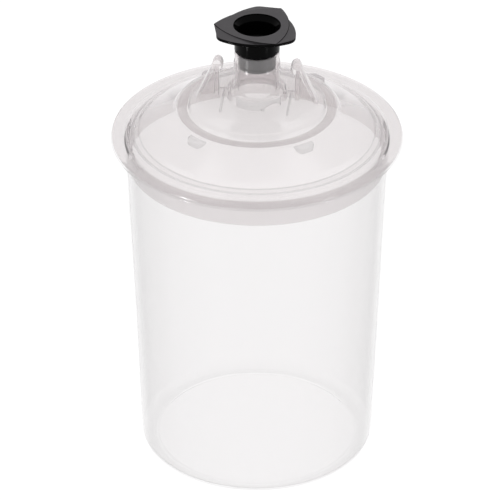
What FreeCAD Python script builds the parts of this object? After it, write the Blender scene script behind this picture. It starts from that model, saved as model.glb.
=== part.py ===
"""Disposable paint cup for a spray gun: thin liner cup, snap-in lid with strainer, and stopper.

Frame: millimetres, +Z up, origin at the middle of the cup's foot on the floor.
The lid's two latch hooks lie on the X axis and the apron on its boss faces -Y.
"""
import FreeCAD, Part
import math
import os

from FreeCAD import Vector

os.makedirs("parts", exist_ok=True)

# ---- driving dimensions ----------------------------------------------------------------------
RIM_Z = 127.0            # top of the cup's flange, which the lid rests on
FLANGE_R = 52.5          # cup flange, outside
WALL_TOP_R = 47.6        # cup wall outside, at the flange
WALL_TAPER = 0.0379      # radius lost per millimetre of depth
CUP_WALL = 0.5
FLANGE_T = 0.7

FOOT_R = 36.5            # inner edge of the foot ring
PUSH_UP = 0.8            # rise of the base panel inside the foot ring
HEEL_R = 3.5             # round between the foot and the wall

LID_R = 52.1             # lid flange, outside
LID_T = 1.05             # wall of the lid moulding
SEAT_GAP = 0.1           # lid flange above the cup flange
SKIRT_DEPTH = 10.1
SKIRT_GAP = 0.15         # skirt to the cup wall, radial

RING_R = 29.7            # raised ring on the lid, outside
DISC_R = 24.1            # domed disc inside the ring
DISC_EDGE_H = 14.3       # heights of the lid's features above the cup's rim
DISC_MID_H = 16.2
BOSS_R = 10.6
BOSS_H = 19.9

NECK_R = 8.0
NECK_BORE_R = 6.75
NECK_H = 34.7
BEAD_R = 8.3             # seal bead round the neck
BEAD_LOW_H = 28.0
BEAD_HIGH_H = 30.8

HOOK_X = 14.5            # middle of a hook's post
HOOK_WIDTH = 4.4         # along Y
HOOK_TOP_H = 31.1
HOOK_FOOT_X = 22.2       # outer foot of the sloped strut
BARB_R = 1.9

APRON_FROM = -126.0      # apron that hangs from the front of the boss, in degrees from +X
APRON_TO = -34.0
APRON_REACH = 0.45
APRON_SINK = 0.6         # how far it reaches into the disc
ARCH_FROM = -72.0        # low arched opening under one end of the apron
ARCH_H = 1.9
ARCH_STEP = 0.8          # its shoulders, this much lower and spanning this many degrees
ARCH_STEP_SPAN = 9.0
APRON_FOOT_H = 0.7       # small foot at the arch's start
APRON_FOOT_SPAN = 5.0

RIB_X = 12.0             # low ribs beside the neck
RIB_BACK_Y = 4.3
RIB_FRONT_Y = -12.6
RIB_T = 0.8
RIB_RISE = 1.0

LUG_ANGLE = 38.0         # lugs to either side of the Y axis
LUG_REACH_R = 33.2
LUG_TOP_H = 11.0
LUG_DEPTH = 2.6

MESH_R = 28.4
MESH_T = 0.35
MESH_SEAT_H = 11.4       # underside of the thick ring that the mesh is welded to
MESH_SEAT_R = 24.6       # inside of that ring

STEM_R = 6.70            # runs in the neck's bore with 0.05 mm all round
STEM_DEPTH = 6.3
STOPPER_GAP = 0.1        # collar above the neck's rim
COLLAR_R = 8.1
COLLAR_H = 7.8
GRIP_TOP_WIDTH = 26.8    # constant width of the three-sided grip, at its top and at its lip
GRIP_TOP_CORNER = 0.6
GRIP_LOW_WIDTH = 28.2
GRIP_LOW_CORNER = 4.5
GRIP_LIP = 1.3           # straight lower lip
GRIP_SLOPE = 0.9         # twisted part above the lip
GRIP_TWIST = 30.0        # turn of the lip against the top
GRIP_TURN = 1.5          # how the stopper happens to be turned in the neck
HOLE_TOP_R = 8.35
HOLE_COLLAR_R = 6.9
HOLE_STEM_R = 5.5
STOPPER_FLOOR = 1.2


# ---- helpers ---------------------------------------------------------------------------------
def outline(start, *steps):
    """Closed face in the XZ plane. A step is a point, or (via, end) for an arc through via."""
    def place(rz):
        return Vector(rz[0], 0, rz[1])

    edges = []
    here = place(start)
    for step in steps:
        if isinstance(step[0], tuple):
            via, end = place(step[0]), place(step[1])
            edges.append(Part.Arc(here, via, end).toShape())
        else:
            end = place(step)
            edges.append(Part.LineSegment(here, end).toShape())
        here = end
    edges.append(Part.LineSegment(here, place(start)).toShape())
    return Part.Face(Part.Wire(edges))


def turned(face):
    """Solid made by turning a face in the XZ plane about the Z axis."""
    return face.revolve(Vector(0, 0, 0), Vector(0, 0, 1), 360)


def plate(face, width):
    """Plate of the given width along Y, centred on the XZ plane."""
    solid = face.extrude(Vector(0, width, 0))
    solid.translate(Vector(0, -width / 2, 0))
    return solid


def block(x0, x1, y0, y1, z0, z1):
    return Part.makeBox(x1 - x0, y1 - y0, z1 - z0, Vector(x0, y0, z0))


def spun(shape, degrees):
    copy = shape.copy()
    copy.rotate(Vector(0, 0, 0), Vector(0, 0, 1), degrees)
    return copy


def raised(shape, height):
    copy = shape.copy()
    copy.translate(Vector(0, 0, height))
    return copy


# ---- liner cup -------------------------------------------------------------------------------
def wall_r(z):
    """Outside radius of the cup's tapered wall at height z."""
    return WALL_TOP_R - WALL_TAPER * (RIM_Z - z)


def liner_cup():
    under_flange = RIM_Z - FLANGE_T
    floor_top = CUP_WALL + 0.2
    foot_out = wall_r(0) - HEEL_R
    heel_mid = HEEL_R * (1 - math.sqrt(0.5))
    inner_heel = HEEL_R - CUP_WALL
    inner_mid = inner_heel * (1 - math.sqrt(0.5))
    lip = 0.4
    profile = outline(
        (0, PUSH_UP),
        (FOOT_R - PUSH_UP, PUSH_UP),
        (FOOT_R, 0),
        (foot_out, 0),
        ((wall_r(0) - heel_mid, heel_mid), (wall_r(HEEL_R), HEEL_R)),
        (wall_r(under_flange - lip), under_flange - lip),
        ((wall_r(under_flange) + 0.12, under_flange - 0.12), (WALL_TOP_R + lip, under_flange)),
        (FLANGE_R - 0.3, under_flange),
        ((FLANGE_R, RIM_Z - FLANGE_T / 2), (FLANGE_R - 0.3, RIM_Z)),
        (WALL_TOP_R, RIM_Z),
        ((WALL_TOP_R - CUP_WALL + 0.12, RIM_Z - 0.12), (wall_r(RIM_Z - 0.4) - CUP_WALL, RIM_Z - 0.4)),
        (wall_r(floor_top + inner_heel) - CUP_WALL, floor_top + inner_heel),
        ((wall_r(0) - CUP_WALL - inner_mid, floor_top + inner_mid), (foot_out, floor_top)),
        (FOOT_R + 0.2, floor_top),
        (FOOT_R + 0.2 - PUSH_UP, floor_top + PUSH_UP),
        (0, floor_top + PUSH_UP),
    )
    return turned(profile)


# ---- lid -------------------------------------------------------------------------------------
SKIRT_TOP_R = WALL_TOP_R - CUP_WALL - SKIRT_GAP
SKIRT_LOW_R = SKIRT_TOP_R - WALL_TAPER * SKIRT_DEPTH
DOME_VIA = (17.5, 15.6)  # point that the domed disc passes through


def lid_outside():
    """Outer form of the lid, solid inside: skirt, flange, cone, ring, domed disc, boss and neck."""
    return turned(outline(
        (0, -SKIRT_DEPTH),
        (SKIRT_LOW_R - 0.3, -SKIRT_DEPTH),
        (SKIRT_LOW_R, -SKIRT_DEPTH + 0.3),
        (SKIRT_TOP_R, SEAT_GAP),
        (LID_R, SEAT_GAP),
        (LID_R, 0.9),
        ((LID_R - 0.18, 1.26), (LID_R - 0.6, 1.4)),
        (47.5, 1.4),
        ((46.2, 2.2), (45.2, 1.7)),
        (44.4, 1.75),
        (43.1, 3.2),
        ((42.2, 3.75), (41.0, 4.05)),
        (30.2, 10.8),
        (RING_R, 11.4),
        ((28.8, 12.75), (26.6, 13.65)),
        (25.6, 13.8),
        (24.7, 13.85),
        ((24.3, 13.95), (DISC_R, DISC_EDGE_H)),
        (DOME_VIA, (BOSS_R, DISC_MID_H)),
        (BOSS_R, BOSS_H - 0.4),
        (BOSS_R - 0.4, BOSS_H),
        (NECK_R + 0.5, BOSS_H),
        ((NECK_R + 0.4, BOSS_H + 0.8), (NECK_R, BOSS_H + 1.6)),
        (NECK_R, BEAD_LOW_H),
        (BEAD_R, BEAD_LOW_H + 0.35),
        (BEAD_R, BEAD_HIGH_H - 0.35),
        (NECK_R, BEAD_HIGH_H),
        (NECK_R, NECK_H - 0.3),
        (NECK_R - 0.3, NECK_H),
        (0, NECK_H),
    ))


def lid_inside():
    """Hollow of the lid: everything under its wall, with the bore out through the neck."""
    return turned(outline(
        (0, -SKIRT_DEPTH - 1.0),
        (SKIRT_LOW_R - LID_T + 0.2, -SKIRT_DEPTH - 1.0),
        (SKIRT_LOW_R - LID_T + 0.2, -SKIRT_DEPTH + 0.3),
        (SKIRT_TOP_R - LID_T, 0.1),
        (SKIRT_TOP_R - LID_T - 0.3, 0.6),
        (43.8, 0.8),
        (42.4, 2.3),
        ((41.7, 2.75), (40.5, 3.1)),
        (29.9, 9.75),
        (MESH_R + 0.5, MESH_SEAT_H),
        (MESH_SEAT_R, MESH_SEAT_H),
        (MESH_SEAT_R - 0.8, DISC_EDGE_H - LID_T),
        ((DOME_VIA[0], DOME_VIA[1] - LID_T), (BOSS_R - LID_T, DISC_MID_H - LID_T)),
        (BOSS_R - LID_T, BOSS_H - LID_T),
        (NECK_BORE_R, BOSS_H - LID_T),
        (NECK_BORE_R, NECK_H - 0.3),
        (NECK_BORE_R + 0.3, NECK_H),
        (NECK_BORE_R + 0.3, NECK_H + 1.0),
        (0, NECK_H + 1.0),
    ))


def latch_hook():
    """Hook on the +X side: post, inward barb, sloped strut and the thin web between them."""
    half_post = 0.75
    strut_t = 1.2
    foot_h = DISC_EDGE_H
    barb_h = HOOK_TOP_H - BARB_R
    post_in = HOOK_X - half_post
    post = block(post_in, HOOK_X + half_post, -HOOK_WIDTH / 2, HOOK_WIDTH / 2, foot_h, barb_h)
    barb = Part.makeCylinder(BARB_R, HOOK_WIDTH, Vector(post_in + 0.25, -HOOK_WIDTH / 2, barb_h),
                             Vector(0, 1, 0))
    strut_top_x = HOOK_X + half_post + 0.4
    strut = plate(outline((strut_top_x - strut_t, barb_h), (strut_top_x, barb_h + 0.9),
                          (HOOK_FOOT_X, foot_h), (HOOK_FOOT_X - strut_t, foot_h)), HOOK_WIDTH)
    web = plate(outline((HOOK_X, foot_h), (HOOK_X, barb_h), (strut_top_x - 0.5, barb_h),
                        (HOOK_FOOT_X - 0.5, foot_h)), 0.9)
    return post.fuse([barb, strut, web])


def low_rib():
    """Low rib beside the neck on the +X side, with a short bar across its back end."""
    base_h = DISC_EDGE_H
    top_h = DOME_VIA[1] + RIB_RISE
    rib = block(RIB_X - RIB_T / 2, RIB_X + RIB_T / 2, RIB_FRONT_Y, RIB_BACK_Y, base_h, top_h)
    bar = block(RIB_X - 1.5, RIB_X + 1.9, RIB_BACK_Y - RIB_T, RIB_BACK_Y, base_h, top_h)
    return rib.fuse(bar)


def ring_lug():
    """Flat lug that stands out from under the ring, on the +X side."""
    side = [(27.5, 4.3), (LUG_REACH_R - 1.5, 3.6), (LUG_REACH_R, 2.2)]
    points = [Vector(x, -y, 0) for x, y in side] + [Vector(x, y, 0) for x, y in reversed(side)]
    face = Part.Face(Part.makePolygon(points + points[:1]))
    return raised(face.extrude(Vector(0, 0, LUG_DEPTH)), LUG_TOP_H - LUG_DEPTH)


def boss_sector(first_deg, last_deg, low, high, radius):
    """Slice of a cylinder about the Z axis, from one angle to another."""
    wedge = Part.makeCylinder(radius, high - low, Vector(0, 0, low), Vector(0, 0, 1), last_deg - first_deg)
    return spun(wedge, first_deg)


def boss_apron():
    """Apron round the front of the boss, with an arched opening under one end and a small foot."""
    low = DISC_MID_H - APRON_SINK
    below = low - 1.0
    outer = BOSS_R + APRON_REACH
    clear = outer + 1.0
    apron = boss_sector(APRON_FROM, APRON_TO, low, BOSS_H - 0.2, outer)
    shoulders = boss_sector(ARCH_FROM, APRON_TO + 1, below, DISC_MID_H + ARCH_H - ARCH_STEP, clear)
    crown = boss_sector(ARCH_FROM + ARCH_STEP_SPAN, APRON_TO - ARCH_STEP_SPAN, below,
                        DISC_MID_H + ARCH_H, clear)
    foot = boss_sector(ARCH_FROM - APRON_FOOT_SPAN, ARCH_FROM, low, DISC_MID_H + APRON_FOOT_H,
                       outer + 2 * APRON_REACH)
    return apron.cut(shoulders.fuse(crown)).fuse(foot)


def lid():
    """One moulding, in its place on the cup."""
    solid = lid_outside()
    details = [latch_hook(), low_rib(), boss_apron()]
    details.append(spun(latch_hook(), 180))
    details.append(low_rib().mirror(Vector(), Vector(1, 0, 0)))
    for side in (-90, 90):
        for lean in (-LUG_ANGLE, LUG_ANGLE):
            details.append(spun(ring_lug(), side + lean))
    moulding = solid.fuse(details).cut(lid_inside()).removeSplitter()
    return raised(moulding, RIM_Z)


# ---- strainer mesh ---------------------------------------------------------------------------
def strainer_mesh():
    return Part.makeCylinder(MESH_R, MESH_T, Vector(0, 0, RIM_Z + MESH_SEAT_H - MESH_T))


# ---- stopper ---------------------------------------------------------------------------------
def grip_outline(turn, height, width, corner):
    """Three-cornered wire of constant width with rounded corners, all of it in arcs."""
    pivot_r = (width - 2 * corner) / math.sqrt(3)

    def at(pivot_deg, radius, normal_deg):
        pivot, normal = math.radians(turn + pivot_deg), math.radians(turn + normal_deg)
        return Vector(pivot_r * math.cos(pivot) + radius * math.cos(normal),
                      pivot_r * math.sin(pivot) + radius * math.sin(normal), height)

    def arc(pivot_deg, radius, first_deg):
        normals = (first_deg, first_deg + 30, first_deg + 60)
        return Part.Arc(*(at(pivot_deg, radius, normal) for normal in normals)).toShape()

    edges = []
    for middle in (60, 180, 300):
        edges.append(arc(middle, corner, middle - 30))
        edges.append(arc(middle - 120, width - corner, middle + 30))
    return Part.Wire(edges)


def stopper():
    collar_z = RIM_Z + NECK_H + STOPPER_GAP
    lip_z = collar_z + COLLAR_H
    slope_z = lip_z + GRIP_LIP
    top_z = slope_z + GRIP_SLOPE
    stem_z = RIM_Z + NECK_H - STEM_DEPTH
    floor_z = stem_z + STOPPER_FLOOR

    core = turned(outline(
        (0, stem_z),
        (STEM_R - 0.4, stem_z),
        (STEM_R, stem_z + 0.4),
        (STEM_R, collar_z),
        (COLLAR_R - 0.6, collar_z),
        (COLLAR_R, collar_z + 0.6),
        (COLLAR_R, slope_z),
        (0, slope_z),
    ))
    lip_turn = GRIP_TURN + GRIP_TWIST
    lip_edge = grip_outline(lip_turn, lip_z, GRIP_LOW_WIDTH, GRIP_LOW_CORNER)
    lip = Part.Face(lip_edge).extrude(Vector(0, 0, GRIP_LIP))
    slope = Part.makeLoft([grip_outline(lip_turn, slope_z, GRIP_LOW_WIDTH, GRIP_LOW_CORNER),
                           grip_outline(GRIP_TURN, top_z, GRIP_TOP_WIDTH, GRIP_TOP_CORNER)], True, True)
    hollow = turned(outline(
        (0, floor_z),
        (HOLE_STEM_R - 0.5, floor_z),
        (HOLE_STEM_R, floor_z + 0.5),
        (HOLE_STEM_R, collar_z + 1.0),
        (HOLE_COLLAR_R, collar_z + 2.4),
        (HOLE_COLLAR_R, lip_z),
        (HOLE_TOP_R, top_z - 0.3),
        (HOLE_TOP_R, top_z + 1.0),
        (0, top_z + 1.0),
    ))
    return core.fuse([lip, slope]).removeSplitter().cut(hollow)


for node, shape in {
    "liner_cup": liner_cup(),
    "lid": lid(),
    "strainer_mesh": strainer_mesh(),
    "stopper": stopper(),
}.items():
    shape.exportStep("parts/" + node + ".step")
    print(node, "valid" if shape.isValid() else "NOT VALID", "solids", len(shape.Solids),
          "volume %.0f mm3" % shape.Volume)
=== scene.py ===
import math

import bmesh
import bpy
from mathutils import Matrix, Vector


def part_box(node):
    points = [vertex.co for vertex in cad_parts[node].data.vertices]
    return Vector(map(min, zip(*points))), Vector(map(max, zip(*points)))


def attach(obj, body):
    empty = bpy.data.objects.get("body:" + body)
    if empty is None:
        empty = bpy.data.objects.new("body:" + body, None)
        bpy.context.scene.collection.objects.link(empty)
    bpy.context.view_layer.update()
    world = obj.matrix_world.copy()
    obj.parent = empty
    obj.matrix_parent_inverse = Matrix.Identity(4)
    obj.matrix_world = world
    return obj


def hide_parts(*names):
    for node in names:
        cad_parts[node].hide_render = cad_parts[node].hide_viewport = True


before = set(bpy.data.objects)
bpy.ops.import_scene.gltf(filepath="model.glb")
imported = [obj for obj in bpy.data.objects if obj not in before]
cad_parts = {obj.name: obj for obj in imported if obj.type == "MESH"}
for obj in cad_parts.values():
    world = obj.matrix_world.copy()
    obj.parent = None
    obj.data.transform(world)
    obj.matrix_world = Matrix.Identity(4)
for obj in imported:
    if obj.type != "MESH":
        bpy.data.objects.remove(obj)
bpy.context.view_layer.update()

# ---- sizes, in millimetres -------------------------------------------------------------------
# What the CAD frame says
MM = 0.001
CUP_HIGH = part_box("liner_cup")[1] / MM
LID_LOW, LID_HIGH = (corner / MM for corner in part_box("lid"))
MESH_LOW, MESH_HIGH = (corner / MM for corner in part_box("strainer_mesh"))
STOPPER_LOW, STOPPER_HIGH = (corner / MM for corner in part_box("stopper"))
RIM_Z = CUP_HIGH.z
FLANGE_R = CUP_HIGH.y
LID_R = LID_HIGH.y
NECK_TOP = LID_HIGH.z - RIM_Z          # heights on the lid are counted from the cup's rim
SKIRT_DEPTH = RIM_Z - LID_LOW.z
MESH_SEAT = MESH_HIGH.z - RIM_Z

# The cup
WALL_TOP_R = 47.6
WALL_TAPER = 0.0379
CUP_WALL = 0.5
FOOT_R = 36.5
HEEL_R = 3.5
PUSH_UP = 0.8
FILM_WAVE = 0.07

# The lid
LID_T = 1.05
RING_EDGE_R = 29.7
SKIRT_TOP_R = WALL_TOP_R - CUP_WALL - 0.15
SKIRT_LOW_R = SKIRT_TOP_R - WALL_TAPER * SKIRT_DEPTH
DISC_R = 24.1
DISC_EDGE = 14.3
DISC_MID = 16.2
BOSS_R = 10.6
BOSS_TOP = 19.9
NECK_R = 8.0
BORE_R = 6.75
BEAD_R = 8.3
BEAD_LOW = 28.0
BEAD_HIGH = 30.8
HOOK_X = 14.5
HOOK_TOP = 31.1
HOOK_FOOT_X = 22.2
HOOK_WIDTH = 4.4
HOOK_HEAD_W = 3.8
HOOK_HEAD_H = 5.2
RIB_X = 12.0
RIB_FRONT = -12.6
RIB_BACK = 4.3
RIB_TOP = 16.6
LUG_ANGLE = 38.0
LUG_REACH = 33.2
LUG_TOP = 11.0
APRON_FROM = -126.0                    # degrees round the boss
APRON_TO = -34.0
APRON_REACH = 0.45
APRON_SINK = 0.6
ARCH_FROM = -72.0
ARCH_H = 1.9
# GROOVE_BOTTOM, GROOVE_BROW and DETAIL_RISE pick the faces that get the darker milky copy, which is painted
# shade: the groove's two dark lines and the raised details.
GROOVE_BOTTOM = (43.9, 45.1)           # radii of the two lines that the groove draws
GROOVE_BROW = (42.2, 42.9)
DETAIL_RISE = 0.12                     # what stands this far above the turned form is a detail

# The strainer
MESH_R = MESH_HIGH.x
MESH_SEAT_R = 24.6
THREAD_PITCH = 0.8
THREAD_R = 0.03

# The stopper
STEM_R = 6.70
COLLAR_R = 8.1
GRIP_TOP_WIDTH = 26.8
GRIP_TOP_CORNER = 0.6
GRIP_LOW_WIDTH = 28.2
GRIP_LOW_CORNER = 4.5
GRIP_TWIST = 30.0
GRIP_TURN = 61.5                       # degrees from +X to a corner of the grip's top
GRIP_LIP = 1.3
GRIP_SLOPE = 0.9
HOLE_TOP_R = 8.35
HOLE_COLLAR_R = 6.9
HOLE_STEM_R = 5.5

ROUND_STEPS = 240                      # columns round a turned piece
ARC_STEP = 15.0                        # degrees between the points of a rounding
HEAD_STEPS = 20                        # points round a hook's head
APRON_STEPS = 46                       # pieces along the apron

# ---- looks and stage -------------------------------------------------------------------------
# Tones and shares of milk are (how far the surface turns away, value there).
# Painted shade: the cup wall's tint darkens in a band as the wall turns away and lightens again at its very
# edge; only a little of this is the film's longer path at a slant.
WALL_PAINTED_SHADE = [(0.2, 0.957), (0.37, 0.948), (0.54, 0.931), (0.68, 0.905), (0.9, 0.955)]
BASE_TONE = 0.97
LID_TONE = 0.938
WALL_MILK = [(0.0, 0.1), (0.5, 0.14), (0.75, 0.33), (0.95, 0.8)]
# Shares of the darker milky copy, which paints shade on the groove's edges and on the raised details.
SHADED_MILK_SHARES = [(0.0, 0.3), (0.5, 0.35), (0.75, 0.5), (0.95, 0.8)]
SHEEN = [(0.0, 0.035), (0.5, 0.06), (0.7, 0.17), (0.85, 0.42), (1.0, 1.0)]
FILM_GREEN = 0.996                     # green over red in a tint
LID_GREEN = 0.984
FILM_IOR = 1.02                        # close to 1, because light crosses a thin wall almost straight
LID_IOR = 1.035

FLOOR_HALF = 4000.0                    # millimetres; the rest is in metres, degrees and watts
CAMERA_TURN = 5.5
CAMERA_RISE = 30.2
CAMERA_AWAY = 1.58
CAMERA_LENS = 316.8                    # millimetres
AIM_HEIGHT = 0.0783
AIM_SIDE = 0.0025
STRIP_AWAY = 0.24
STRIP_HEIGHT = 0.0275
STRIP_SIZE = (0.03, 0.035)
STRIPS = (("strip_left", -46.5, 0.1), ("strip_right", 57.5, 0.04))


# ---- outlines --------------------------------------------------------------------------------
def rounded(corners):
    """Points of an open outline. A corner is (r, z) or (r, z, radius of its rounding)."""
    points = [Vector(corners[0][:2])]
    for before, corner, after in zip(corners, corners[1:], corners[2:]):
        here = Vector(corner[:2])
        radius = corner[2] if len(corner) > 2 else 0.0
        back, ahead = Vector(before[:2]) - here, Vector(after[:2]) - here
        turn = math.pi - back.angle(ahead)
        if radius <= 0.0 or turn < 1e-3:
            points.append(here)
            continue
        reach = radius * math.tan(turn / 2)
        reach = min(reach, 0.48 * back.length, 0.48 * ahead.length)
        radius = reach / math.tan(turn / 2)
        start, end = here + back.normalized() * reach, here + ahead.normalized() * reach
        centre = here + (back.normalized() + ahead.normalized()).normalized() * (radius / math.cos(turn / 2))
        count = max(2, math.ceil(math.degrees(turn) / ARC_STEP))
        first, last = start - centre, end - centre
        for i in range(count + 1):
            swing = first.lerp(last, i / count).normalized() * radius
            points.append(centre + swing)
    points.append(Vector(corners[-1][:2]))
    return points


def divided(points, longest):
    """The same outline with no piece longer than `longest`."""
    out = [points[0]]
    for here, there in zip(points, points[1:]):
        count = max(1, math.ceil((there - here).length / longest))
        out += [here.lerp(there, i / count) for i in range(1, count + 1)]
    return out


# ---- mesh building ---------------------------------------------------------------------------
def mesh_object(name, vertices, faces):
    mesh = bpy.data.meshes.new(name)
    mesh.from_pydata([Vector(v) * MM for v in vertices], [], faces)
    mesh.update()
    obj = bpy.data.objects.new(name, mesh)
    bpy.context.scene.collection.objects.link(obj)
    return obj


def skinned(name, rows, close_rows=False):
    """Skin through rows of points. A row of one point closes the skin at a pole."""
    vertices, starts = [], []
    for row in rows:
        starts.append(len(vertices))
        vertices += row
    faces = []
    pairs = list(zip(range(len(rows)), range(1, len(rows))))
    if close_rows:
        pairs.append((len(rows) - 1, 0))
    for low, high in pairs:
        count = max(len(rows[low]), len(rows[high]))
        for i in range(count):
            j = (i + 1) % count
            a, b = starts[low] + i % len(rows[low]), starts[low] + j % len(rows[low])
            c, d = starts[high] + j % len(rows[high]), starts[high] + i % len(rows[high])
            corners = [a, b, c, d]
            faces.append([v for k, v in enumerate(corners) if v != corners[k - 1]])
    return mesh_object(name, vertices, faces)


def turned(name, points, shift=None):
    """Solid of revolution about Z. shift(angle, r, z) may add to the radius, for uneven walls."""
    rows = []
    for r, z in points:
        if r < 1e-6:
            rows.append([(0.0, 0.0, z)])
            continue
        row = []
        for i in range(ROUND_STEPS):
            angle = 2 * math.pi * i / ROUND_STEPS
            radius = r + (shift(angle, r, z) if shift else 0.0)
            row.append((radius * math.cos(angle), radius * math.sin(angle), z))
        rows.append(row)
    return skinned(name, rows)


def prism(name, outline, low, high, plane="XY"):
    """Straight prism on a closed outline. In plane XZ it runs along Y from low to high."""
    def place(u, v, w):
        return (u, v, w) if plane == "XY" else (u, w, v)

    count = len(outline)
    vertices = [place(u, v, w) for w in (low, high) for u, v in outline]
    faces = [[i, (i + 1) % count, count + (i + 1) % count, count + i] for i in range(count)]
    faces += [list(range(count))[::-1], list(range(count, 2 * count))]
    obj = mesh_object(name, vertices, faces)
    outward(obj)
    return obj


def outward(obj):
    """Makes every face of a closed mesh look outwards."""
    bm = bmesh.new()
    bm.from_mesh(obj.data)
    bmesh.ops.recalc_face_normals(bm, faces=bm.faces)
    bm.to_mesh(obj.data)
    bm.free()


def baked(obj):
    """Applies the object's modifiers to its mesh."""
    evaluated = obj.evaluated_get(bpy.context.evaluated_depsgraph_get())
    mesh = bpy.data.meshes.new_from_object(evaluated)
    mesh.materials.clear()
    obj.modifiers.clear()
    obj.data = mesh
    return obj


def softened(obj, width, segments=2, angle=30.0):
    """Rounds the edges sharper than `angle`."""
    bevel = obj.modifiers.new("edges", "BEVEL")
    bevel.width = width * MM
    bevel.segments = segments
    bevel.limit_method = "ANGLE"
    bevel.angle_limit = math.radians(angle)
    return baked(obj)


def combined(base, parts, operation):
    """Boolean of the closed pieces with base. The pieces are used up."""
    for part in parts:
        change = base.modifiers.new(part.name, "BOOLEAN")
        change.operation = operation
        change.solver = "MANIFOLD"
        change.object = part
    bpy.context.view_layer.update()
    baked(base)
    for part in parts:
        bpy.data.objects.remove(part)
    return base


def spun(obj, degrees):
    obj.data.transform(Matrix.Rotation(math.radians(degrees), 4, "Z"))
    return obj


def lifted(obj, height):
    obj.data.transform(Matrix.Translation((0, 0, height * MM)))
    return obj


def smooth(obj, angle=32.0):
    """Smooth shading that keeps edges sharper than `angle`."""
    obj.data.polygons.foreach_set("use_smooth", [True] * len(obj.data.polygons))
    obj.data.set_sharp_from_angle(angle=math.radians(angle))
    return obj


# ---- liner cup -------------------------------------------------------------------------------
def wall_r(z):
    return WALL_TOP_R - WALL_TAPER * (RIM_Z - z)


def film_wave(angle, r, z):
    """Slight unevenness of the thin wall, fading out at the foot and the rim."""
    if r < wall_r(0) - 2.5:
        return 0.0
    fade = max(0.0, math.sin(math.pi * min(1.0, max(0.0, z / (RIM_Z - 14.0)))))
    wave = (math.sin(3 * angle + 0.021 * z + 0.6) + 0.6 * math.sin(7 * angle - 0.034 * z + 2.1)
            + 0.35 * math.sin(12 * angle + 0.05 * z))
    return FILM_WAVE * fade * wave


def liner_cup():
    under = RIM_Z - 0.7
    floor = CUP_WALL + 0.2
    outside = [
        (0, PUSH_UP), (FOOT_R - 0.9, PUSH_UP, 0.8), (FOOT_R, 0, 0.5), (wall_r(0), 0, HEEL_R),
        (wall_r(under), under, 0.9), (FLANGE_R, under, 0.3), (FLANGE_R, RIM_Z, 0.3),
        (wall_r(RIM_Z) - CUP_WALL, RIM_Z, 0.5), (wall_r(floor) - CUP_WALL, floor, HEEL_R - CUP_WALL),
        (FOOT_R + 0.2, floor, 0.4), (FOOT_R - 0.7, floor + PUSH_UP, 0.8), (0, floor + PUSH_UP),
    ]
    obj = turned("liner_cup_film", divided(rounded(outside), 5.0), shift=film_wave)
    outward(obj)
    for face in obj.data.polygons:
        centre = face.center / MM
        face.material_index = 1 if math.hypot(centre.x, centre.y) < FOOT_R else 0
    return smooth(obj)


# ---- lid -------------------------------------------------------------------------------------
def dome(r):
    """Height of the central disc's top at radius r."""
    share = (DISC_R - r) / (DISC_R - BOSS_R)
    return DISC_EDGE + (DISC_MID - DISC_EDGE) * share * (2 - share)


def dome_points(first_r, last_r, drop, count=8):
    radii = [first_r + (last_r - first_r) * i / count for i in range(count + 1)]
    return [(r, dome(r) - drop) for r in radii]


def lid_outline():
    """Outer outline of the lid, from the axis below to the axis above."""
    return rounded([
        (0, -SKIRT_DEPTH), (SKIRT_LOW_R, -SKIRT_DEPTH, 0.4), (SKIRT_TOP_R, 0.1, 0.1),
        (LID_R, 0.1, 0.25), (LID_R, 1.4, 0.5), (47.3, 1.4, 0.8), (46.7, 2.0, 0.5), (45.5, 2.15, 0.6),
        (45.0, 1.7, 0.4), (44.3, 1.75, 0.5), (43.2, 3.3, 0.9), (41.0, 4.05, 3.0), (30.3, 10.75, 0.5),
        (RING_EDGE_R, 11.4, 0.6), (28.6, 13.0, 1.8), (25.6, 13.8, 0.8), (24.5, 13.85, 0.4),
        *dome_points(DISC_R, BOSS_R + 0.2, 0.0),
        (BOSS_R, DISC_MID, 0.6), (BOSS_R, BOSS_TOP, 0.5), (NECK_R + 0.5, BOSS_TOP, 0.3),
        (NECK_R + 0.4, BOSS_TOP + 0.8, 0.6), (NECK_R, BOSS_TOP + 1.8, 0.8), (NECK_R, BEAD_LOW, 0.2),
        (BEAD_R, BEAD_LOW + 0.35, 0.3), (BEAD_R, BEAD_HIGH - 0.35, 0.3), (NECK_R, BEAD_HIGH, 0.2),
        (NECK_R, NECK_TOP, 0.4), (0, NECK_TOP),
    ])


def lid_outside():
    """Outer form of the lid, solid inside."""
    obj = turned("lid_moulding", lid_outline())
    outward(obj)
    return obj


def lid_inside():
    """Hollow of the lid, cut out of the outer form."""
    below, above = -SKIRT_DEPTH - 1.0, NECK_TOP + 1.0
    low_r = SKIRT_LOW_R - LID_T + 0.2
    corners = [
        (0, below), (low_r + 0.5, below), (low_r + 0.5, -SKIRT_DEPTH + 0.1),
        (low_r, -SKIRT_DEPTH + 0.6, 0.2),
        (SKIRT_TOP_R - LID_T, 0.3, 0.6), (43.8, 0.75, 0.6), (42.4, 2.4, 1.0), (40.5, 3.1, 2.0),
        (29.9, 9.75), (MESH_R + 0.5, MESH_SEAT), (MESH_SEAT_R, MESH_SEAT, 0.4),
        (MESH_SEAT_R - 0.8, dome(MESH_SEAT_R - 0.8) - LID_T, 0.4),
        *dome_points(MESH_SEAT_R - 1.2, BOSS_R, LID_T),
        (BOSS_R - LID_T, BOSS_TOP - LID_T - 1.8, 0.3), (BOSS_R - LID_T, BOSS_TOP - LID_T, 0.5),
        (BORE_R, BOSS_TOP - LID_T, 0.3), (BORE_R, NECK_TOP - 0.3, 0.1), (BORE_R + 0.35, above), (0, above),
    ]
    obj = turned("lid_hollow", rounded(corners))
    outward(obj)
    return obj


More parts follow.
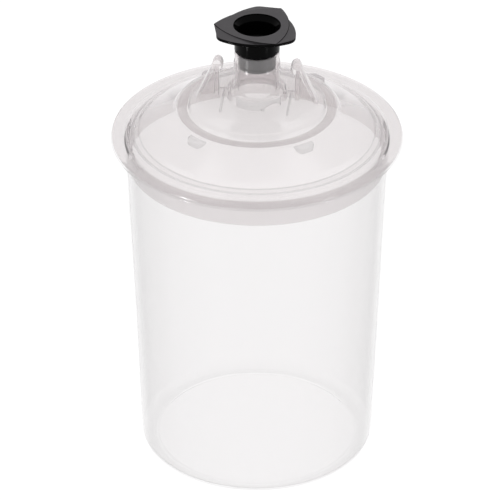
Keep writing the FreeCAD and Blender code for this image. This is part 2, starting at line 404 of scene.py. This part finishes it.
def hook_profile():
    """Closed outline of the hook's head: an upright barrel, set a little inwards."""
    centre_x, centre_z = HOOK_X - 0.45, HOOK_TOP - HOOK_HEAD_H / 2
    points = []
    for i in range(HEAD_STEPS):
        angle = 2 * math.pi * i / HEAD_STEPS
        points.append((centre_x + HOOK_HEAD_W / 2 * math.cos(angle),
                       centre_z + HOOK_HEAD_H / 2 * math.sin(angle)))
    return points


def latch_hook():
    """Pieces of the hook on the +X side: head, post, sloped strut and thin web."""
    half, foot = HOOK_WIDTH / 2, DISC_EDGE
    neck = HOOK_TOP - 3.2
    top_x = HOOK_X + 1.25
    head = softened(prism("hook_head", hook_profile(), -half, half, "XZ"), 0.45)
    post = prism("hook_post", [(HOOK_X - 0.75, foot), (HOOK_X + 0.75, foot), (HOOK_X + 0.75, neck),
                               (HOOK_X - 0.75, neck)], -half + 0.15, half - 0.15, "XZ")
    strut = prism("hook_strut", [(top_x - 1.3, neck), (top_x, neck + 1.2), (HOOK_FOOT_X, foot),
                                 (HOOK_FOOT_X - 1.2, foot)], -half + 0.1, half - 0.1, "XZ")
    web = prism("hook_web", [(HOOK_X, foot), (HOOK_FOOT_X - 0.6, foot), (top_x - 0.6, neck),
                             (HOOK_X, neck)], -0.4, 0.4, "XZ")
    return [head, softened(post, 0.2), softened(strut, 0.25), web]


def block(name, x0, x1, y0, y1, low, high, edge):
    """Box with softened edges."""
    return softened(prism(name, [(x0, y0), (x1, y0), (x1, y1), (x0, y1)], low, high), edge)


def low_rib():
    """Low rib beside the neck on the +X side, with a short bar across its back end."""
    rib = block("rib", RIB_X - 0.4, RIB_X + 0.4, RIB_FRONT, RIB_BACK, DISC_EDGE, RIB_TOP, 0.2)
    bar = block("rib_bar", RIB_X - 1.5, RIB_X + 1.9, RIB_BACK - 0.8, RIB_BACK,
                DISC_EDGE, RIB_TOP - 0.02, 0.2)
    return [rib, bar]


def ring_lug():
    """Flat lug that stands out from under the ring on the +X side."""
    side = [(27.5, 4.3), (LUG_REACH - 1.5, 3.6), (LUG_REACH, 2.2)]
    outline = [(x, -y) for x, y in side] + [(x, y) for x, y in reversed(side)]
    return softened(prism("lug", outline, LUG_TOP - 2.6, LUG_TOP), 0.3, 3)


def boss_apron():
    """Apron round the front of the boss, with an arched opening under one end and a small foot."""
    outer, inner_r, foot_h = BOSS_R + APRON_REACH, BOSS_R - APRON_SINK, DISC_MID - APRON_SINK
    top, under, inner = [], [], []
    for i in range(APRON_STEPS + 1):
        angle = APRON_FROM + (APRON_TO - APRON_FROM) * i / APRON_STEPS
        share = (angle - ARCH_FROM) / (APRON_TO - ARCH_FROM)
        arch = ARCH_H * math.sin(math.pi * share) ** 0.6 if 0.0 < share < 1.0 else 0.0
        turn = math.radians(angle)
        across, along = math.cos(turn), math.sin(turn)
        low = DISC_MID + arch if arch else foot_h
        top.append((outer * across, outer * along, BOSS_TOP - 0.2))
        under.append((outer * across, outer * along, low))
        inner.append((inner_r * across, inner_r * along, low))
    back = [(inner_r * x / outer, inner_r * y / outer, z) for x, y, z in top]
    rows = [list(row) for row in zip(top, under, inner, back)]
    vertices = [corner for row in rows for corner in row]
    faces = [[4 * i + k, 4 * i + (k + 1) % 4, 4 * i + 4 + (k + 1) % 4, 4 * i + 4 + k]
             for i in range(APRON_STEPS) for k in range(4)]
    faces += [[3, 2, 1, 0], [4 * APRON_STEPS + k for k in range(4)]]
    apron = mesh_object("apron", vertices, faces)
    outward(apron)
    foot = block("apron_foot", inner_r, outer + 0.9, -0.5, 0.5, foot_h, DISC_MID + 0.7, 0.15)
    return [softened(apron, 0.15, 2, 40.0), spun(foot, ARCH_FROM - 2)]


def mirrored(obj):
    """Turns the piece over in X."""
    obj.data.transform(Matrix.Scale(-1, 4, (1, 0, 0)))
    obj.data.flip_normals()
    return obj


def lid():
    details = latch_hook() + low_rib() + boss_apron()
    details += [spun(piece, 180) for piece in latch_hook()]
    details += [mirrored(piece) for piece in low_rib()]
    for side in (-90, 90):
        for lean in (-LUG_ANGLE, LUG_ANGLE):
            details.append(spun(ring_lug(), side + lean))
    obj = combined(lid_outside(), details, "UNION")
    obj = combined(obj, [lid_inside()], "DIFFERENCE")
    return smooth(lifted(obj, RIM_Z))


def painted_shade_faces(obj):
    """Gives the second material, a darker milky copy, to the groove's edges and to the ribs, lugs and apron:
    painted shade for the groove's dark lines and for the darker look of the raised details.
    """
    slope = [p for p in lid_outline() if p.x > BOSS_R + 0.1 and p.y > 0.5]
    for face in obj.data.polygons:
        centre = face.center / MM
        r, z = math.hypot(centre.x, centre.y), centre.z - RIM_Z
        for here, there in zip(slope, slope[1:]):
            if there.x < r <= here.x:
                level = here.y + (there.y - here.y) * (here.x - r) / (here.x - there.x)
                groove_shade = z > 1.0 and any(low < r < high for low, high in (GROOVE_BOTTOM, GROOVE_BROW))
                hook = abs(centre.x) > HOOK_X - 1.5 and abs(centre.y) < HOOK_WIDTH / 2 + 0.2
                face.material_index = 1 if groove_shade or (z > level + DETAIL_RISE and not hook) else 0
    return obj


# ---- strainer --------------------------------------------------------------------------------
def strainer_threads():
    """Woven threads: each passes over and under the ones across it."""
    vertices, faces = [], []
    reach = MESH_R - 0.6
    level = (MESH_LOW.z + MESH_HIGH.z) / 2
    count = int(reach / THREAD_PITCH)
    for along in (0, 1):
        for line in range(-count, count + 1):
            offset = line * THREAD_PITCH
            half = math.sqrt(max(0.0, reach * reach - offset * offset))
            crossings = int(half / THREAD_PITCH)
            if crossings < 1:
                continue
            stops = [-half] + [k * THREAD_PITCH for k in range(-crossings, crossings + 1)] + [half]
            start = len(vertices)
            for stop in stops:
                k = round(stop / THREAD_PITCH)
                over = THREAD_R if (k + line + along) % 2 else -THREAD_R
                for corner in range(4):
                    turn = math.pi / 2 * corner
                    side, up = THREAD_R * math.cos(turn), THREAD_R * math.sin(turn) + over
                    here = (stop, offset + side) if along else (offset + side, stop)
                    vertices.append((*here, level + up))
            for ring in range(len(stops) - 1):
                for corner in range(4):
                    a = start + 4 * ring + corner
                    b = start + 4 * ring + (corner + 1) % 4
                    faces.append([a, b, b + 4, a + 4])
            faces.append([start + c for c in (3, 2, 1, 0)])
            last = start + 4 * (len(stops) - 1)
            faces.append([last + c for c in range(4)])
    obj = mesh_object("strainer_weave", vertices, faces)
    outward(obj)
    return smooth(obj, 180)


def strainer_rim():
    """Flat welded edge of the strainer."""
    low, high = MESH_LOW.z, MESH_HIGH.z - 0.02
    edge = MESH_SEAT_R + 0.5
    ring = rounded([(edge + 0.3, low), (MESH_R, low, 0.1), (MESH_R, high, 0.05), (edge, high, 0.1),
                    (edge, low, 0.1), (edge + 0.3, low)])[:-1]
    rows = [[(r * math.cos(a), r * math.sin(a), z) for a in
             (2 * math.pi * i / ROUND_STEPS for i in range(ROUND_STEPS))] for r, z in ring]
    obj = skinned("strainer_rim", rows, close_rows=True)
    outward(obj)
    return smooth(obj)


# ---- stopper ---------------------------------------------------------------------------------
def constant_width(angle, width, corner):
    """Point of a three-cornered curve of constant width, where its normal has this angle."""
    side = width - 2 * corner
    reach = side / math.sqrt(3)
    turn = angle % (2 * math.pi / 3)
    base = angle - turn
    if turn < math.pi / 6 or turn > math.pi / 2:
        pivot = base if turn < math.pi / 6 else base + 2 * math.pi / 3
        radius = corner
    else:
        pivot = base + math.pi / 3 + math.pi
        radius = side + corner
    return Vector((reach * math.cos(pivot) + radius * math.cos(angle),
                   reach * math.sin(pivot) + radius * math.sin(angle)))


def grip_row(share, shrink, z, columns):
    """Outline of the grip between its top (share 0) and its lip (share 1), drawn in by `shrink`."""
    row = []
    top_turn = Matrix.Rotation(math.radians(GRIP_TURN), 2)
    lip_turn = Matrix.Rotation(math.radians(GRIP_TURN + GRIP_TWIST), 2)
    for i in range(columns):
        angle = 2 * math.pi * i / columns
        inwards = -shrink * Vector((math.cos(angle), math.sin(angle)))
        top = top_turn @ (constant_width(angle, GRIP_TOP_WIDTH, GRIP_TOP_CORNER) + inwards)
        lip = lip_turn @ (constant_width(angle, GRIP_LOW_WIDTH, GRIP_LOW_CORNER) + inwards)
        row.append((*top.lerp(lip, share), z))
    return row


def ring_row(radius, z, columns, twist=0.0):
    start = math.radians(GRIP_TURN + twist)
    return [(radius * math.cos(start + 2 * math.pi * i / columns),
             radius * math.sin(start + 2 * math.pi * i / columns), z) for i in range(columns)]


def stopper():
    columns = ROUND_STEPS
    low, top = STOPPER_LOW.z, STOPPER_HIGH.z
    lip_top = top - GRIP_SLOPE
    lip_low = lip_top - GRIP_LIP
    collar_low = RIM_Z + NECK_TOP + 0.1
    inside = rounded([(0, low + 1.2), (HOLE_STEM_R, low + 1.2, 0.6), (HOLE_STEM_R, collar_low + 1.0, 0.8),
                      (HOLE_COLLAR_R, collar_low + 2.4, 0.8), (HOLE_COLLAR_R, lip_low, 0.6),
                      (HOLE_TOP_R, top - 0.5, 0.6), (HOLE_TOP_R, top - 0.12)])
    rows = [[(0, 0, inside[0].y)]] + [ring_row(p.x, p.y, columns) for p in inside[1:]]
    rows.append(ring_row(HOLE_TOP_R + 0.12, top, columns))
    rows.append(grip_row(0, 0.3, top, columns))
    rows.append(grip_row(0, 0.22, top - 0.05, columns))
    rows.append(grip_row(0, 0.2, top - 0.16, columns))
    rows.append(grip_row(0, 0.02, top - 0.2, columns))
    slope = 6
    for i in range(1, slope):
        share = i / slope
        rows.append(grip_row(share, 0.02, top - 0.2 + (lip_top - top + 0.2) * share, columns))
    rows.append(grip_row(1, 0.04, lip_top, columns))
    rows.append(grip_row(1, 0.0, lip_top - 0.08, columns))
    rows.append(grip_row(1, 0.0, lip_low + 0.2, columns))
    rows.append(grip_row(1, 0.06, lip_low + 0.06, columns))
    rows.append(grip_row(1, 0.25, lip_low, columns))
    outside = rounded([(COLLAR_R + 0.9, lip_low), (COLLAR_R, lip_low, 0.5), (COLLAR_R, collar_low, 0.7),
                       (STEM_R, collar_low, 0.15), (STEM_R, low, 0.5), (0, low)])
    rows += [ring_row(p.x, p.y, columns, GRIP_TWIST) for p in outside[:-1]] + [[(0, 0, low)]]
    obj = skinned("stopper_plug", rows)
    outward(obj)
    return smooth(obj, 28)


def glossy_collar_and_shade(obj):
    """Gives the second material, a darker and glossier black, to the hollow, to the step round the grip's
    top and below the grip: real gloss on the collar, painted shade in the hollow, on the step and on the
    lip's sides.
    """
    top = STOPPER_HIGH.z
    lip_low = top - GRIP_SLOPE - GRIP_LIP
    for face in obj.data.polygons:
        centre = face.center / MM
        inside = math.hypot(centre.x, centre.y) < HOLE_TOP_R + 0.02
        edge = centre.z < lip_low + GRIP_LIP - 0.05
        step = top - 0.21 < centre.z < top - 0.04
        face.material_index = 1 if inside or edge or step else 0
    return obj


# ---- materials -------------------------------------------------------------------------------
class Paint:
    """A new node material: `add` makes a node and `link` joins two sockets."""
    def __init__(self, name):
        self.material = bpy.data.materials.new(name)
        self.material.use_nodes = True
        self.tree = self.material.node_tree
        self.tree.nodes.clear()
        self.output = self.add("ShaderNodeOutputMaterial")

    def add(self, kind):
        return self.tree.nodes.new(kind)

    def link(self, source, target):
        self.tree.links.new(source, target)

    def noise(self, scale, detail=2.0, roughness=0.5):
        """Noise in the object's own metres."""
        place = self.add("ShaderNodeTexCoord")
        noise = self.add("ShaderNodeTexNoise")
        noise.inputs["Scale"].default_value = scale
        noise.inputs["Detail"].default_value = detail
        noise.inputs["Roughness"].default_value = roughness
        self.link(place.outputs["Object"], noise.inputs["Vector"])
        return noise.outputs["Fac"]

    def spread(self, value, low, high):
        """Maps a 0 to 1 value to low..high."""
        node = self.add("ShaderNodeMapRange")
        node.inputs["To Min"].default_value = low
        node.inputs["To Max"].default_value = high
        self.link(value, node.inputs["Value"])
        return node.outputs["Result"]

    def turning_tone(self, stops, green=FILM_GREEN):
        """Tone that changes from where the surface faces the eye (0) to where it turns away (1)."""
        facing = self.add("ShaderNodeLayerWeight")
        facing.inputs["Blend"].default_value = 0.5
        ramp = self.add("ShaderNodeValToRGB")
        elements = ramp.color_ramp.elements
        elements.remove(elements[1])
        for place, tone in stops[1:]:
            elements.new(place)
        for stop, (place, tone) in zip(elements, stops):
            stop.position = place
            stop.color = warm(tone, green)
        self.link(facing.outputs["Facing"], ramp.inputs["Fac"])
        return ramp.outputs["Color"]

    def bump(self, value, distance, strength=1.0):
        node = self.add("ShaderNodeBump")
        node.inputs["Strength"].default_value = strength
        node.inputs["Distance"].default_value = distance
        self.link(value, node.inputs["Height"])
        return node.outputs["Normal"]


def warm(tone, green):
    """Grey with a little less green and blue than red."""
    return (tone, green * tone, (green + 0.001) * tone, 1)


def see_through(paint, tones, green, bend, haze, dullness, normal):
    """Thin see-through plastic: light crosses it almost straight, and its gloss grows as it turns away.
    One tone tints it evenly, and several (place, tone) stops tint it more as it turns away."""
    through = paint.add("ShaderNodeBsdfGlass")
    through.inputs["IOR"].default_value = bend
    if isinstance(tones, float):
        through.inputs["Color"].default_value = warm(tones, green)
    else:
        paint.link(paint.turning_tone(tones, green), through.inputs["Color"])
    gloss = paint.add("ShaderNodeBsdfAnisotropic")
    gloss.inputs["Color"].default_value = (1, 1, 1, 1)
    for lobe, roughness in ((through, haze), (gloss, dullness)):
        paint.link(roughness, lobe.inputs["Roughness"])
        paint.link(normal, lobe.inputs["Normal"])
    sheen = paint.turning_tone(SHEEN)
    side = paint.add("ShaderNodeNewGeometry")
    outer_only = paint.add("ShaderNodeMix")
    paint.link(side.outputs["Backfacing"], outer_only.inputs["Factor"])
    paint.link(sheen, outer_only.inputs["A"])
    outer_only.inputs["B"].default_value = 0.0
    mix = paint.add("ShaderNodeMixShader")
    paint.link(outer_only.outputs["Result"], mix.inputs["Fac"])
    paint.link(through.outputs["BSDF"], mix.inputs[1])
    paint.link(gloss.outputs["BSDF"], mix.inputs[2])
    return mix.outputs["Shader"]


def clear_film(name, tones):
    """Clear glossy film, greyer where it turns away, which is painted shade. Slow noise makes it slightly
    uneven.
    """
    paint = Paint(name)
    gloss = paint.spread(paint.noise(60), 0.02, 0.07)
    surface = see_through(paint, tones, FILM_GREEN, FILM_IOR, gloss, gloss,
                          paint.bump(paint.noise(35, 3), 0.0004, 0.35))
    paint.link(surface, paint.output.inputs["Surface"])
    return paint.material


def milky_plastic(name, tone, shares):
    """Milky plastic, clear enough to show what is behind it. Its milk shows more where it turns away."""
    paint = Paint(name)
    grain = paint.noise(90)
    clear = see_through(paint, LID_TONE, LID_GREEN, LID_IOR, paint.spread(grain, 0.03, 0.08),
                        paint.spread(grain, 0.12, 0.22), paint.bump(paint.noise(400, 3), 0.0001, 0.15))
    milk = paint.add("ShaderNodeBsdfDiffuse")
    milk.inputs["Color"].default_value = (tone, 0.97 * tone, 0.98 * tone, 1)
    mix = paint.add("ShaderNodeMixShader")
    paint.link(paint.turning_tone(shares), mix.inputs["Fac"])
    paint.link(clear, mix.inputs[1])
    paint.link(milk.outputs["BSDF"], mix.inputs[2])
    paint.link(mix.outputs["Shader"], paint.output.inputs["Surface"])
    return paint.material


def nylon():
    paint = Paint("nylon_thread")
    shader = paint.add("ShaderNodeBsdfPrincipled")
    shader.inputs["Base Color"].default_value = (0.97, 0.97, 0.95, 1)
    shader.inputs["Transmission Weight"].default_value = 0.9
    shader.inputs["IOR"].default_value = 1.3
    paint.link(paint.spread(paint.noise(800), 0.3, 0.5), shader.inputs["Roughness"])
    paint.link(shader.outputs["BSDF"], paint.output.inputs["Surface"])
    return paint.material


def black_plastic(name, tone, gloss_low, gloss_high, grain, shine):
    """Black moulded plastic with a fine grain."""
    paint = Paint(name)
    shader = paint.add("ShaderNodeBsdfPrincipled")
    shader.inputs["Base Color"].default_value = (tone, 0.9 * tone, tone, 1)
    shader.inputs["Specular IOR Level"].default_value = shine
    paint.link(paint.spread(paint.noise(300), gloss_low, gloss_high), shader.inputs["Roughness"])
    paint.link(paint.bump(paint.noise(2500, 3), 0.00005, grain), shader.inputs["Normal"])
    paint.link(shader.outputs["BSDF"], paint.output.inputs["Surface"])
    return paint.material


def dressed(obj, materials, body, slot, *nodes):
    for material in materials:
        obj.data.materials.append(material)
    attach(obj, body)
    if nodes:
        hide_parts(*nodes)


# ---- stage -----------------------------------------------------------------------------------
def floor():
    """Pale floor that glows softly, like a light table."""
    corners = [(FLOOR_HALF * x, FLOOR_HALF * y, 0) for x, y in ((-1, -1), (1, -1), (1, 1), (-1, 1))]
    obj = mesh_object("floor", corners, [[0, 1, 2, 3]])
    paint = Paint("pale_floor")
    shader = paint.add("ShaderNodeBsdfPrincipled")
    shader.inputs["Base Color"].default_value = (0.04, 0.04, 0.04, 1)
    shader.inputs["Roughness"].default_value = 0.9
    shader.inputs["Specular IOR Level"].default_value = 0.0
    shader.inputs["Emission Color"].default_value = (1, 1, 1, 1)
    shader.inputs["Emission Strength"].default_value = 1.03
    paint.link(shader.outputs["BSDF"], paint.output.inputs["Surface"])
    obj.data.materials.append(paint.material)


def softbox(name, place, size, watts, target):
    light = bpy.data.lights.new(name, "AREA")
    light.shape = "RECTANGLE"
    light.size, light.size_y = size
    light.energy = watts
    obj = bpy.data.objects.new(name, light)
    obj.location = place
    obj.rotation_mode = "QUATERNION"
    obj.rotation_quaternion = (Vector(target) - Vector(place)).to_track_quat("-Z", "Y")
    obj.visible_camera = False
    obj.visible_transmission = False
    bpy.context.scene.collection.objects.link(obj)


def studio():
    """Bright tent with a softbox above, and a small light low down on either side of the camera."""
    world = bpy.data.worlds.new("studio")
    world.use_nodes = True
    world.node_tree.nodes["Background"].inputs["Color"].default_value = (1, 1, 1, 1)
    world.node_tree.nodes["Background"].inputs["Strength"].default_value = 0.9
    bpy.context.scene.world = world
    bpy.context.scene.view_settings.view_transform = "Standard"
    softbox("softbox_top", (0, 0.5, 1.5), (1.6, 1.2), 8.0, (0, 0, 0.1))
    middle = Vector((0, 0, STRIP_HEIGHT))
    for name, turn, watts in STRIPS:
        angle = math.radians(turn)
        away = Vector((math.sin(angle), -math.cos(angle), 0)) * STRIP_AWAY
        softbox(name, away + middle, STRIP_SIZE, watts, middle)


def camera():
    """Looks down at the cup from the front and a little to the right."""
    azimuth, elevation = math.radians(CAMERA_TURN), math.radians(CAMERA_RISE)
    across = Vector((math.cos(azimuth), math.sin(azimuth), 0))
    back = Vector((math.sin(azimuth) * math.cos(elevation), -math.cos(azimuth) * math.cos(elevation),
                   math.sin(elevation)))
    data = bpy.data.cameras.new("camera")
    data.sensor_width = 36.0
    data.lens = CAMERA_LENS
    obj = bpy.data.objects.new("camera", data)
    obj.location = Vector((0, 0, RIM_Z * MM)) + back * CAMERA_AWAY
    target = Vector((0, 0, AIM_HEIGHT)) - across * AIM_SIDE
    obj.rotation_mode = "QUATERNION"
    obj.rotation_quaternion = (target - obj.location).to_track_quat("-Z", "Y")
    bpy.context.scene.collection.objects.link(obj)
    bpy.context.scene.camera = obj


# ---- assembly --------------------------------------------------------------------------------
wall = clear_film("clear_wall", WALL_PAINTED_SHADE)
base = clear_film("clear_base", BASE_TONE)
milky = milky_plastic("milky_wall", 0.76, WALL_MILK)
# A darker copy of the milky plastic: painted shade for the groove's lines and the raised details.
shaded_milky = milky_plastic("milky_painted_shade", 0.5, SHADED_MILK_SHARES)
thread = nylon()
satin = black_plastic("black_grip", 0.035, 0.45, 0.6, 0.4, 0.3)
# A darker, glossier black: real gloss on the collar, painted shade in the hollow, on the step round the
# grip's top and on the lip's sides.
gloss = black_plastic("black_collar_and_painted_shade", 0.001, 0.04, 0.08, 0.05, 0.04)
dressed(liner_cup(), [wall, base], "cup", "clear_liner", "liner_cup")
dressed(painted_shade_faces(lid()), [milky, shaded_milky], "lid", "milky_lid", "lid")
dressed(strainer_threads(), [thread], "lid", "nylon_mesh", "strainer_mesh")
dressed(strainer_rim(), [milky], "lid", "nylon_mesh")
dressed(glossy_collar_and_shade(stopper()), [satin, gloss], "stopper", "black_stopper", "stopper")
floor()
studio()
camera()
